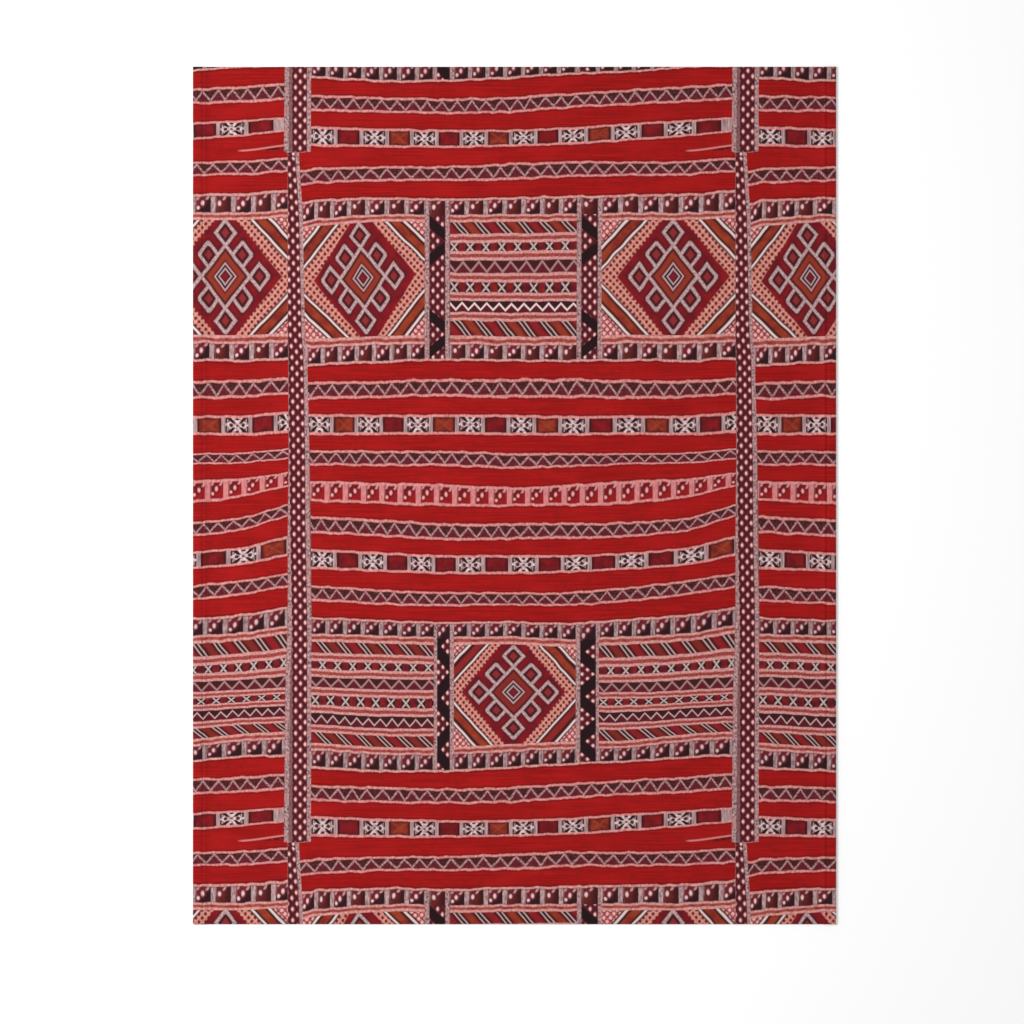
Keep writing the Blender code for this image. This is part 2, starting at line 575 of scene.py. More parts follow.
def long_braid_area(across, depth):
    """Printed area at this place in the long braid, and the print's place for its corners."""
    edges = edges_at(LONG_BRAID, depth)
    if across < edges[1]:
        return "strip", strip_place(edges[0], WIDE_STRIP)
    if across > edges[2]:
        return "strip", strip_place(edges[2], NARROW_STRIP)
    return "long_net", lambda a, d: ((a - edges_at(LONG_BRAID, d)[2]) / NET_COLUMN, (d - NET_TOP) / NET_ROW)


def short_braid_area(band, block, first, across, depth):
    """Printed area in the short braid that starts with this edge, and the print's place for its corners."""
    edges = edges_at(SHORT_BRAIDS, depth)
    if across < edges[first + 1]:
        return "strip", strip_place(edges[first], NARROW_STRIP)
    if across > edges[first + 2]:
        return "strip", strip_place(edges[first + 2], NARROW_STRIP)

    def share_across(a, d):
        left, right = edges_at(SHORT_BRAIDS, d)[first + 1 : first + 3]
        return (a - left) / (right - left)

    if band in ("boxes_1", "boxes_3") and band_place(band, across, depth) < 1.0:
        kind = TALL_COUNT + 1.0 if band == "boxes_1" else LOW_COUNT
        return "boxes_over_braid", lambda a, d: (
            kind + LONE_BOX_SHARE * min(max(share_across(a, d), 0.0), 1.0),
            min(band_place(band, a, d), LONE_BOX_FOOT),
        )
    area, crest, period = WAVES[block, first]
    return area, lambda a, d: (share_across(a, d), (d - crest) / period)


def printed_area(band, block, across, depth):
    """Printed area at this place in a repeat, and a function for the print's place at its corners."""
    long_braid = edges_at(LONG_BRAID, depth)
    short = edges_at(SHORT_BRAIDS, depth)
    if across < long_braid[3]:
        return long_braid_area(across, depth)
    if block and short[0] < across < short[3]:
        return short_braid_area(band, block, 0, across, depth)
    if block and short[4] < across < short[7]:
        return short_braid_area(band, block, 4, across, depth)
    if band == "ground":
        return band, lambda a, d: (a, d)
    if band == "stray_line":
        return band, lambda a, d: (a / 10.0, d - band_depth(band, 0.0, a))
    if band == "pink_boxes":
        first_box, pitch = PINK_BOXES
        return band, lambda a, d: ((a - first_box) / pitch, band_place(band, a, d))
    if band.startswith("zigzag"):
        return "zigzag", lambda a, d: (ZIGZAG_COUNTS[band].at(a), band_place(band, a, d))
    if band.startswith("squares"):
        return "squares", lambda a, d: (squares_place(band, a), band_place(band, a, d))
    segment = "left" if across < short[0] else "right" if across > short[7] else "middle"
    if band.startswith("boxes"):
        area = "boxes_over_braid" if band in ("boxes_1", "boxes_3") else "boxes_under_braid"
        return area, lambda a, d: box_place(band, segment, a, d)
    if (block == "tall") == (segment == "middle"):
        left = {"left": long_braid[3], "middle": short[3], "right": short[7]}[segment]
        right = {"left": short[0], "middle": short[4], "right": REPEAT_WIDTH + long_braid[0]}[segment]
        return segment + "_stripes", lambda a, d: stripes_place(block, segment, a, d, left, right)
    return segment + "_diamond", lambda a, d: diamond_place(segment, a, d)


def laid_sheet():
    """The throw: a grid that follows the print, lifted to its face, with rounded rims and a mapped print."""
    columns = mesh_columns()
    rows = mesh_rows()
    across = len(columns) - 1
    along = len(rows) - 1
    sheet = bmesh.new()
    bmesh.ops.create_grid(sheet, x_segments=across, y_segments=along, size=0.5)
    column_of = sheet.verts.layers.int.new("column")
    row_of = sheet.verts.layers.int.new("row")
    for point in sheet.verts:
        point[column_of] = round((point.co.x + 0.5) * across)
        point[row_of] = along - round((point.co.y + 0.5) * along)
    lifted = bmesh.ops.extrude_face_region(sheet, geom=sheet.faces[:])
    face_points = {item for item in lifted["geom"] if isinstance(item, bmesh.types.BMVert)}
    places = {}
    for column, (column_x, _, _) in enumerate(columns):
        for row, (line, _, _) in enumerate(rows):
            down = line(column_x(line(0.0)))
            x = column_x(down)
            places[column, row] = (x, line(x))
    for point in sheet.verts:
        x, down = places[point[column_of], point[row_of]]
        fullness = columns[point[column_of]][1] * rows[point[row_of]][1]
        inset = WIDTH / 2.0 - abs(x)
        half = cloth_thickness(inset) / 2.0
        y = REPEAT_TOP - down
        rise = half * fullness
        if point in face_points:
            height = half + rise + (ripple(x, y, inset) if fullness == 1.0 else 0.0)
        else:
            height = half - rise
        point.co = (x / 1000.0, y / 1000.0, height / 1000.0)
    bmesh.ops.recalc_face_normals(sheet, faces=sheet.faces[:])
    printing = sheet.loops.layers.uv.new("print")
    baking = sheet.loops.layers.uv.new("OFBake")
    for face in sheet.faces:
        on_top = sum(point in face_points for point in face.verts)
        middle = face.calc_center_median() * 1000.0
        below = on_top == 0
        if below and WIDTH / 2.0 - abs(middle.x) > HEM_WIDTH:
            face.material_index = AREAS.index("back")
            for corner in face.loops:
                corner[printing].uv = corner.vert.co.xy
        else:
            x = math.copysign(WIDTH, middle.x) - middle.x if below else middle.x
            repeat_across, place_across, repeat_down, depth = locate(x, REPEAT_TOP - middle.y)
            band, block = rows[min(point[row_of] for point in face.verts)][2]
            area, place = printed_area(band, block, place_across, depth)
            face.material_index = AREAS.index(area)
            for corner in face.loops:
                corner_x, down = places[corner.vert[column_of], corner.vert[row_of]]
                if below:
                    corner_x = math.copysign(WIDTH, corner_x) - corner_x
                corner[printing].uv = place(
                    corner_x - REPEAT_LEFT - repeat_across * REPEAT_WIDTH, down - repeat_down * REPEAT_LENGTH
                )
        lay_out_for_bake(face, baking, on_top, across, column_of, row_of)
    mesh = bpy.data.meshes.new("printed_throw")
    sheet.to_mesh(mesh)
    sheet.free()
    mesh.shade_smooth()
    return mesh


def lay_out_for_bake(face, baking, on_top, across, column_of, row_of):
    """Lays the face out on most of the baked picture, and the underside and the rims on strips of it."""
    columns_here = {point[column_of] for point in face.verts}
    rows_here = {point[row_of] for point in face.verts}
    rim = (columns_here == {0}, columns_here == {across}, rows_here == {0}, True).index(True)
    for corner in face.loops:
        share_across = corner.vert.co.x * 1000.0 / WIDTH + 0.5
        share_along = corner.vert.co.y * 1000.0 / LENGTH + 0.5
        lift = corner.vert.co.z * 1000.0 / HEM_THICKNESS
        if on_top == len(face.verts):
            place = BAKED_FACE[0] + BAKED_FACE[1] * share_across
        elif on_top == 0:
            place = BAKED_UNDERSIDE[0] + BAKED_UNDERSIDE[1] * share_across
        else:
            place = BAKED_RIMS[0] + BAKED_RIMS[1] * rim + BAKED_RIMS[2] * lift
            share_along = share_along if rim < 2 else share_across
        corner[baking].uv = (place, BAKED_ALONG[0] + BAKED_ALONG[1] * share_along)


def calculate(operation, *values, clamp=False):
    """A Math node on values and numbers."""
    tree = next(value for value in values if isinstance(value, Reading)).socket.id_data
    node = tree.nodes.new("ShaderNodeMath")
    node.operation = operation
    node.use_clamp = clamp
    for socket, value in zip(node.inputs, values):
        if isinstance(value, Reading):
            tree.links.new(value.socket, socket)
        else:
            socket.default_value = value
    return Reading(node.outputs[0])


class Reading:
    """A number that varies over the surface. Arithmetic on it adds Math nodes."""

    def __init__(self, socket):
        self.socket = socket

    def __add__(self, other):
        return calculate("ADD", self, other)

    __radd__ = __add__

    def __sub__(self, other):
        return calculate("SUBTRACT", self, other)

    def __rsub__(self, other):
        return calculate("SUBTRACT", other, self)

    def __mul__(self, other):
        return calculate("MULTIPLY", self, other)

    __rmul__ = __mul__

    def __truediv__(self, other):
        return calculate("DIVIDE", self, other)

    def __abs__(self):
        return calculate("ABSOLUTE", self)


def part_of(value):
    return calculate("FRACT", value)


def whole_of(value):
    return calculate("FLOOR", value)


def lesser(first, second):
    return calculate("MINIMUM", first, second)


def greater(first, second):
    return calculate("MAXIMUM", first, second)


def near(distance, reach, soft):
    """1 within this reach of a line and 0 outside it, with edges this soft."""
    return calculate("MULTIPLY_ADD", abs(distance), -1.0 / soft, 0.5 + reach / soft, clamp=True)


def past(value, edge, soft):
    """1 where the value is past the edge and 0 before it, with an edge this soft."""
    return calculate("MULTIPLY_ADD", value, 1.0 / soft, 0.5 - edge / soft, clamp=True)


def before(value, edge, soft):
    """1 where the value is short of the edge and 0 past it, with an edge this soft."""
    return calculate("MULTIPLY_ADD", value, -1.0 / soft, 0.5 + edge / soft, clamp=True)


def oval(aside, below, half_width, half_height, soft=0.4):
    """1 inside an oval round the place where both distances are 0."""
    wide = aside / half_width
    high = below / half_height
    return before(calculate("SQRT", wide * wide + high * high), 1.0, soft)


def odd(count):
    """1 where the whole count is odd and 0 where it is even."""
    return part_of(whole_of(count) * 0.5) * 2.0


def from_middle(count):
    """Distance from the nearest whole count, -0.5 to 0.5."""
    return part_of(count + 0.5) - 0.5


def printed_tone(tone):
    """A thread colour of the picture as linear light."""
    linear = []
    for value in tone:
        share = value / 255.0
        linear.append(share / 12.92 if share <= 0.04045 else ((share + 0.055) / 1.055) ** 2.4)
    return [value * PRINT_STRENGTH for value in linear] + [1.0]


class Finish:
    """Node tree of one material."""

    def __init__(self, name):
        self.material = bpy.data.materials.new(name)
        self.material.use_nodes = True
        self.tree = self.material.node_tree
        self.shader = self.tree.nodes["Principled BSDF"]

    def add(self, kind, settings=None, inputs=None):
        node = self.tree.nodes.new(kind)
        for name, value in (settings or {}).items():
            setattr(node, name, value)
        for name, value in (inputs or {}).items():
            self.feed(node.inputs[name], value)
        return node

    def look(self, values):
        """Sets inputs of the material's shader by name."""
        for name, value in values.items():
            self.feed(self.shader.inputs[name], value)

    def feed(self, socket, value):
        if isinstance(value, Reading):
            value = value.socket
        if isinstance(value, bpy.types.NodeSocket):
            self.tree.links.new(value, socket)
        else:
            socket.default_value = value

    def paint(self, under, over, cover):
        """One colour over another where the cover is 1. A colour is a tone or a socket."""
        node = self.add("ShaderNodeMix", {"data_type": "RGBA"}, {0: cover})
        for place, colour in ((6, under), (7, over)):
            self.feed(node.inputs[place], printed_tone(colour) if isinstance(colour, tuple) else colour)
        return node.outputs[2]

    def coats(self, under, *coats):
        """Colours painted one over the other, each given as (colour, cover)."""
        for over, cover in coats:
            under = self.paint(under, over, cover)
        return under

    def mottled(self, first, second, grains, level=0.5, soft=0.4, detail=1.0):
        """Two colours mixed by noise."""
        return self.paint(first, second, past(self.noise(grains, detail), level, soft))

    def scaled(self, colour, strength):
        node = self.add("ShaderNodeVectorMath", {"operation": "SCALE"}, {0: colour, "Scale": strength})
        return node.outputs[0]

    def object_place(self):
        return self.add("ShaderNodeTexCoord").outputs["Object"]

    def apart(self, place):
        parts = self.add("ShaderNodeSeparateXYZ", inputs={0: place})
        return Reading(parts.outputs[0]), Reading(parts.outputs[1])

    def print_place(self):
        """Place in the print's own measure: (count across, share down)."""
        return self.apart(self.add("ShaderNodeUVMap", {"uv_map": "print"}).outputs[0])

    def noise(self, stretch, detail=1.0, roughness=0.5):
        """Noise from 0 to 1 with this many grains to a metre along x, y and z."""
        mapping = self.add("ShaderNodeMapping", inputs={"Vector": self.object_place(), "Scale": stretch})
        noise = self.add(
            "ShaderNodeTexNoise",
            {"noise_dimensions": "3D"},
            {"Vector": mapping.outputs[0], "Scale": 1.0, "Detail": detail, "Roughness": roughness},
        )
        return Reading(noise.outputs[0])

    def chance(self, count):
        """A fixed random number for each whole count."""
        node = self.add("ShaderNodeTexWhiteNoise", {"noise_dimensions": "1D"}, {"W": whole_of(count)})
        return Reading(node.outputs["Value"])


def red_ground(finish):
    """Red weft of the ground, in slightly uneven rows."""
    patches = finish.noise((16.0, 34.0, 1.0))
    blots = finish.noise((110.0, 170.0, 1.0), 2.0)
    return finish.coats(
        finish.mottled((144, 13, 15), (178, 25, 24), (14.0, 620.0, 1.0), detail=2.0),
        ((138, 24, 20), past(blots, 0.56, 0.2) * 0.6),
        ((178, 26, 26), past(patches, 0.58, 0.2) * 0.5),
    )


def uneven_place(finish, reach):
    """Place in the print's own measure, with the slight unevenness of printed lines in it."""
    count, down = finish.print_place()
    quick = finish.noise((70.0, 40.0, 1.0), 2.0) - 0.5
    slow = finish.noise((24.0, 12.0, 1.0)) - 0.5
    return count, down + (quick * (reach * 1.5) + slow * (reach * 0.7))


def band_frame(finish, down, height, inside):
    """Ground past a band, its two rose lines and what is printed between them."""
    ends = abs(down - 0.5)
    shade = near(ends - 0.5 - 2.4 / height, 1.2 / height, 1.6 / height)
    ground = finish.paint(red_ground(finish), EDGE_RED, shade)
    cloth = finish.paint(inside, ground, past(ends, 0.5, 0.4 / height))
    line = finish.mottled((202, 114, 112), (236, 160, 154), TWIST)
    return finish.paint(cloth, line, near(ends - 0.5, 1.4 / height, 1.4 / height))


def zigzag_band(finish):
    height = 16.5
    count, down = uneven_place(finish, 0.22)
    count = count + (finish.noise((33.0, 12.0, 1.0)) - 0.5) * 0.4
    fall = abs(from_middle(count)) * 2.0
    path = 0.15 + fall * 0.7
    above = past(path - down, 0.0, 0.1)
    speckle = finish.noise(SPECKLE)
    thread = finish.paint((148, 96, 102), (196, 156, 156), past(speckle, 0.5, 0.3))
    field = finish.coats(
        (96, 26, 36),
        ((68, 26, 26), above),
        ((124, 66, 68), past(speckle, 0.6, 0.3) * 0.5),
        (thread, near(down - path, 0.105, 0.12)),
    )
    return band_frame(finish, down, height, field)


def squares_band(finish):
    height = 20.0
    pitch = 60.0
    count, down = uneven_place(finish, 0.13)
    aside = abs(from_middle(count)) * pitch
    below = abs(down - 0.5) * height
    stroke = past(below * 0.26 + 1.0 - abs(aside - below * 0.98 - 1.1), 0.0, 1.3)
    stroke = stroke * near(below - 5.8, 3.6, 1.2)
    dash = near(aside - 12.4, 1.7, 1.2) * near(below - 5.0, 3.5, 1.4)
    dot = greater(oval(aside - 6.7, below, 2.1, 2.3), oval(aside, below - 7.6, 2.2, 1.6))
    inner_dash = near(aside - 9.3, 0.8, 1.2) * near(below - 4.6, 1.4, 1.4)
    crossed = finish.coats(
        finish.mottled((172, 138, 140), (230, 206, 204), (300.0, 300.0, 1.0), 0.48, 0.24),
        ((110, 66, 70), inner_dash * 0.9),
        ((132, 84, 90), oval(aside, below, 1.7, 1.7)),
        ((84, 38, 48), dot),
        ((50, 22, 25), greater(stroke, dash * 0.95)),
    )
    band = whole_of(count / RUST_COUNT)
    odd_rust = odd(count) * near(band - 1.0, 0.1, 0.05)
    even_rust = (1.0 - odd(count)) * near(band, 0.1, 0.05) * near(count - 4.5, 3.0, 0.1)
    last_rust = near(band - 2.0, 0.1, 0.05) * past(count, RUST_COUNT * 2.0 + 8.0, 0.05)
    rust_share = greater(greater(odd_rust, even_rust), last_rust)
    shade = finish.noise((90.0, 90.0, 1.0), 2.0)
    plain = finish.paint((104, 22, 26), (138, 26, 32), past(shade, 0.5, 0.3))
    warm = finish.coats(
        (116, 34, 26),
        ((152, 52, 34), past(shade, 0.48, 0.3)),
        ((166, 86, 62), near(aside + below * 1.2 - 30.0, 1.3, 2.4) * 0.3),
    )
    rim = greater(near(aside - 17.7, 2.2, 2.8), past(below, 6.9, 2.8))
    plain_square = finish.coats(plain, (warm, rust_share), ((58, 20, 24), rim * 0.9))
    strip = finish.mottled((144, 110, 112), (202, 168, 168), (520.0, 60.0, 1.0))
    row = finish.coats(crossed, (strip, past(aside, 12.9, 0.8)), (plain_square, past(aside, 17.2, 0.8)))
    return band_frame(finish, down, height, row)


def one_box(finish, count, down, height, base, blob, knot_tone):
    """A small box: pale knots, an arch round the first one, notches at the top and a dark corner."""
    pitch = 22.0
    aside = part_of(count) * pitch
    width = pitch * 0.775
    below = down * height
    diagonal = aside / width + below / height
    one_knot = odd(count) * near(count, (TALL_COUNT + LOW_COUNT) / 2.0, 1.0)
    two_knots = 1.0 - one_knot
    dark_corner = past(diagonal, 1.08, 0.22)
    arch = oval(aside - 7.6, below - 9.0, 4.6, 5.4, 0.35)
    shade = finish.noise((300.0, 300.0, 1.0))
    middle = 4.9 + two_knots * 3.4 + (finish.chance(count) - 0.5) * 1.6
    knot = oval(aside - middle, below - 9.2, 1.7, 2.6, 0.9)
    low_knot = oval(aside - 3.3, below - 14.2, 1.6, 1.8, 0.9) * two_knots
    notch = near(aside - middle - 5.2 + (below - 4.0) * 0.5, 1.4, 1.6) * before(below, 5.6, 1.6)
    left_notch = near(aside - 3.1 + (below - 3.0) * 0.4, 1.3, 1.6) * before(below, 5.0, 1.8)
    inner = finish.coats(
        blob,
        (base, dark_corner * (0.55 + two_knots * 0.45)),
        (blob, arch * 0.8),
        ((50, 22, 26), past(shade, 0.56, 0.3) * 0.35),
        ((92, 36, 27), one_knot * past(shade, 0.4, 0.3) * 0.7),
        ((54, 21, 25), one_knot * past(aside, 11.5, 6.0) * 0.75),
        ((176, 128, 128), before(aside, 1.2, 2.4) * 0.6),
        (base, before(aside, 1.6, 1.6) * past(below, 12.5, 4.0) * 0.8),
        ((206, 152, 154), greater(notch, left_notch * two_knots * 0.9)),
        (knot_tone, greater(knot, low_knot)),
    )
    return inner, aside, width


def dark_boxes(finish, braid_below):
    height = 20.5
    count, down = uneven_place(finish, 0.16)
    tones = ((50, 25, 29), (122, 36, 46), (238, 204, 202))
    inner, aside, width = one_box(finish, count, down, height, *tones)
    strip = finish.mottled((142, 108, 110), (208, 172, 172), HATCH, 0.5, 0.36)
    shadow = greater(before(down, 0.13, 0.06), past(down, 0.9, 0.06))
    side = down if braid_below else 1.0 - down
    ground = finish.paint(red_ground(finish), EDGE_RED, near(side + 0.13, 0.06, 0.06))
    red_thread = finish.mottled((140, 48, 44), (176, 84, 76), (160.0, 60.0, 1.0))
    line = finish.mottled((192, 124, 120), (230, 170, 162), TWIST)
    lines = greater(near(abs(side - 0.5) - 0.5, 0.062, 0.05), near(side - 1.0 - BRAID_SHARE, 0.075, 0.06))
    return finish.coats(
        inner,
        (strip, past(aside, width, 0.8)),
        (BLACK, past(count, LOW_COUNT - 10.0, 1.0) * 0.16),
        ((110, 56, 58), shadow * 0.5),
        (ground, before(side, 0.0, 0.02)),
        (red_thread, past(side, 1.0, 0.02)),
        (line, lines),
    )


def pink_boxes(finish):
    height = 21.0
    count, down = uneven_place(finish, 0.16)
    tones = ((158, 27, 31), (122, 22, 28), (236, 172, 168))
    inner, aside, width = one_box(finish, count + LOW_COUNT, down, height, *tones)
    strip = finish.mottled((196, 108, 110), (226, 148, 146), HATCH, 0.5, 0.5)
    row = finish.paint(inner, strip, past(aside, width - 1.0, 0.8))
    return band_frame(finish, down, height, row)


def blunt_diamond(rising, falling):
    """Distance from the middle of a small diamond that is blunt on its outer corner."""
    return greater(greater(abs(rising), abs(falling)), (rising + falling) * 0.56)


def hooked_diamond(finish, rhombus, stripes, knots, second_line, shift=0.0, crimson_share=0.0):
    """Hooked diamond: lattice of a large and eight small diamonds, in a rhombus with checked, striped sides.

    The rhombus and its stripes are each given by how fast they are left across and down.
    """
    aside, below = finish.print_place()
    aside = aside + (finish.noise((48.0, 48.0, 1.0)) - 0.5) * 0.09
    below = below + (finish.noise((44.0, 44.0, 3.0)) - 0.5) * 0.07
    rising = abs(aside + below)
    falling = abs(aside - below)
    middle = greater(rising, falling)
    hook_place = 1.4
    out_rising = rising - hook_place
    out_falling = falling - hook_place
    corner_hook = blunt_diamond(out_rising, out_falling)
    side_hooks = lesser(blunt_diamond(out_rising, falling), blunt_diamond(rising, out_falling))
    hook = lesser(corner_hook, side_hooks)
    shade = finish.noise((70.0, 70.0, 1.0), 2.0)
    speckle = finish.noise(SPECKLE)
    halo = greater(near(middle - 1.0, 0.2, 0.16), near(hook - 0.4, 0.2, 0.16))
    core = finish.coats(
        (146, 54, 38),
        ((134, 40, 40), crimson_share),
        ((84, 28, 30), past(middle, 0.8, 0.08)),
        ((112, 30, 36), before(middle, 0.56, 0.08)),
        (GREY_ROSE, before(middle, 0.47, 0.04)),
        (BLACK, before(middle, 0.385, 0.04)),
        (GREY_ROSE, before(middle, 0.295, 0.04)),
        ((88, 24, 32), before(middle, 0.215, 0.04)),
        ((124, 28, 42), before(middle, 0.14, 0.05)),
    )
    thread = finish.paint((164, 128, 130), (210, 180, 178), past(speckle, 0.5, 0.4))
    lattice = greater(near(middle - 1.0, 0.078, 0.065), near(hook - 0.4, 0.08, 0.065))
    field = finish.coats(
        (110, 21, 32),
        ((140, 25, 30), past(shade, 0.5, 0.3)),
        ((84, 26, 34), halo * 0.8),
        ((72, 24, 32), before(hook, 0.4, 0.03)),
        ((140, 46, 46), before(hook, 0.17, 0.08)),
        (core, before(middle, 1.0, 0.03)),
        (thread, lattice),
    )

    far_aside = abs(aside - shift)
    far_below = abs(below)
    within = far_aside * rhombus[0] + far_below * rhombus[1]
    reach = far_aside * stripes[0] + far_below * stripes[1]
    first_line = 1.345
    knot_rising = from_middle(aside * knots[0] + below * knots[1])
    knot_falling = from_middle(aside * knots[0] - below * knots[1])
    from_knot = calculate("SQRT", knot_rising * knot_rising + knot_falling * knot_falling)
    knot = near(from_knot, 0.33, 0.26)
    rosy = finish.paint((202, 124, 110), (234, 160, 148), past(speckle, 0.5, 0.36))
    checked = finish.paint(rosy, (108, 38, 34), knot)
    warm = finish.coats(
        (126, 36, 34),
        ((156, 62, 38), past(shade, 0.46, 0.3)),
        ((140, 34, 40), past(aside * below, 0.0, 0.2) * crimson_share),
    )
    stripe = finish.paint(warm, (62, 22, 26), near(abs(reach - 1.5) - 0.12, 0.035, 0.05))
    corner = finish.coats(
        (150, 40, 52),
        ((240, 190, 184), knot),
        ((226, 150, 144), past(speckle, 0.55, 0.2) * 0.5),
    )
    dark = greater(near(reach - first_line, 0.058, 0.04), near(reach - second_line, 0.068, 0.04))
    pale = greater(near(reach - first_line, 0.024, 0.026), near(reach - second_line, 0.028, 0.026))
    return finish.coats(
        field,
        (checked, past(within, 1.0, 0.03)),
        (stripe, past(reach, first_line, 0.02)),
        (corner, past(reach, second_line + 0.04, 0.03)),
        ((66, 30, 32), dark),
        (PALE, pale),
    )


def striped_panel(
    finish,
    slash,
    peak=0.06,
    second_row=0.48,
    bold_peak=-0.08,
    bold_reach=0.010,
    bold_tone=(196, 160, 158),
    warm_tone=(124, 42, 34),
):
    """Striped panel: slanted stripes, crosses, a thin zigzag, crosses, a bolder zigzag, slanted stripes.

    The places of the slanted stripes, slash, are given for the upper row and for the lower row.
    """
    height = 132.0
    count, down = uneven_place(finish, 0.016)
    shade = finish.noise((100.0, 100.0, 1.0), 2.0)
    speckle = finish.noise(SPECKLE)

    lower_slash = past(down, 0.5, 0.02)
    slash_down = down - lower_slash * 0.85
    slashes = (count - slash[0] - lower_slash * (slash[1] - slash[0]) - slash_down * 6.2) / 1.364
    across = abs(from_middle(slashes)) * 25.6
    core = finish.coats(
        warm_tone,
        ((140, 28, 38), odd(slashes)),
        ((136, 38, 34), past(shade, 0.54, 0.2) * 0.75),
    )
    slanted = finish.coats(
        (72, 24, 26),
        (core, past(across, 7.7, 3.6)),
        ((48, 34, 36), before(across, 1.9, 1.0)),
        ((200, 164, 160), near(across - 2.9, 1.0, 1.3)),
    )

    first_crosses = 0.2235
    second_crosses = 0.557
    lower_row = past(down, 0.4, 0.02)
    crosses = count + lower_row * second_row
    aside = abs(from_middle(crosses)) * 18.4
    below = abs(down - first_crosses - lower_row * (second_crosses - first_crosses)) * height
    knots = near(from_middle(below / 2.6), 0.3, 0.3)
    cross = near(aside * 1.2 - below, 1.5, 1.5) * (0.62 + knots * 0.38)
    hexagon = finish.paint((90, 24, 32), (136, 34, 36), past(shade, 0.5, 0.3))
    hexagon = finish.paint((64, 22, 28), hexagon, past(aside + below * 0.15, 5.4, 1.4))
    small = finish.coats(
        (52, 26, 32),
        ((214, 186, 180), cross * before(below, 5.4, 1.0)),
        (hexagon, past(aside, 4.7, 0.9)),
    )

    thin_path = 0.345 + abs(from_middle(count - peak)) * 2.0 * 0.082
    thin = finish.coats(
        (98, 30, 38),
        ((70, 28, 30), past(thin_path - down, 0.0, 0.01)),
        ((170, 128, 128), near(down - thin_path, 0.0125, 0.013)),
    )
    bold_path = 0.700 + abs(from_middle((count - bold_peak) / 0.78)) * 2.0 * 0.066
    bold = finish.coats(
        (92, 28, 36),
        ((62, 26, 30), past(bold_path - down, 0.0, 0.01)),
        (bold_tone, near(down - bold_path, bold_reach, 0.008)),
    )

    braids = abs(down - BRAIDED_LINES[0])
    for middle in BRAIDED_LINES[1:]:
        braids = lesser(braids, abs(down - middle))
    red_thread = finish.paint((138, 48, 46), (174, 82, 76), past(speckle, 0.5, 0.4))
    line = finish.paint((190, 122, 120), (230, 170, 164), past(speckle, 0.5, 0.4))
    ends = greater(before(down, 0.011, 0.006), past(down, 0.989, 0.006))
    return finish.coats(
        slanted,
        (small, near(down - first_crosses, 0.06, 0.01)),
        (thin, near(down - 0.386, 0.075, 0.01)),
        (small, near(down - second_crosses, 0.067, 0.01)),
        (bold, near(down - 0.732, 0.081, 0.01)),
        (red_thread, before(braids, 0.026, 0.006)),
        (line, greater(near(braids - 0.0265, 0.0118, 0.009), ends)),
    )


def net_cells(finish, column, row):
    """Net of small cells, each with a pale knot at its left, every other column half a cell lower."""
    rising = row + column * 0.5
    falling = row - column * 0.5
    near_rising = from_middle(rising)
    near_falling = from_middle(falling)
    aside = (near_rising - near_falling) * NET_COLUMN
    below = (near_rising + near_falling) * 0.5 * NET_ROW
    net_lines = greater(past(abs(near_rising), 0.42, 0.12), past(abs(near_falling), 0.42, 0.12))
    return finish.coats(
        (116, 34, 46),
        ((88, 32, 36), past(aside, 1.2, 2.4) * 0.8),
        ((58, 26, 30), net_lines),
        ((196, 128, 126), oval(aside, below, 1.65, 2.6, 0.8)),
        ((236, 200, 194), oval(aside + 0.45, below, 1.25, 1.9, 0.7)),
    )


def long_net(finish):
    column, row = finish.print_place()
    return net_cells(finish, column + 0.34, row)


def wave_net(finish, swing, edges, columns, rows):
    """Net of a short braid, crossed by a black wave that leaves triangles of cells at both sides.

    Columns are given by the first one and their step, rows by their number in a wave and the first one.
    """
    aside, down = finish.print_place()
    cells = net_cells(finish, (aside - columns[0]) / columns[1], down * rows[0] + rows[1])
    wave = abs(from_middle(down)) * swing + aside
    return finish.paint(cells, BLACK, past(wave, edges[0], 0.12) * before(wave, edges[1], 0.12))


def grey_rose_strip(finish):
    aside, _ = finish.print_place()
    ticks = finish.noise((420.0, 300.0, 1.0), 2.0)
    tint = finish.noise((60.0, 60.0, 1.0), 2.0)
    return finish.coats(
        (110, 76, 78),
        ((206, 168, 168), past(ticks, 0.5, 0.3)),
        ((198, 134, 132), past(tint, 0.55, 0.2) * 0.5),
        ((104, 66, 70), past(abs(aside - 0.5), 0.42, 0.14) * 0.75),
    )


def stray_line(finish):
    """Ground with a short pale line that runs out, and a dark wedge under it."""
    aside, below = finish.print_place()
    shown = past(aside, 47.6, 0.6)
    ticks = finish.noise((210.0, 210.0, 1.0))
    wedge = past(aside, 50.8, 0.8) * near(below - 2.6, 1.5, 1.2) * past(ticks, 0.44, 0.12)
    cloth = finish.paint(red_ground(finish), BLACK, wedge * 0.85)
    return finish.paint(cloth, (214, 130, 126), shown * near(below, 1.0, 1.2))


def fleece_back(finish):
    """Unprinted back of the fleece."""
    return finish.mottled((226, 216, 210), (238, 230, 226), (60.0, 60.0, 60.0), 0.5, 0.5, 3.0)


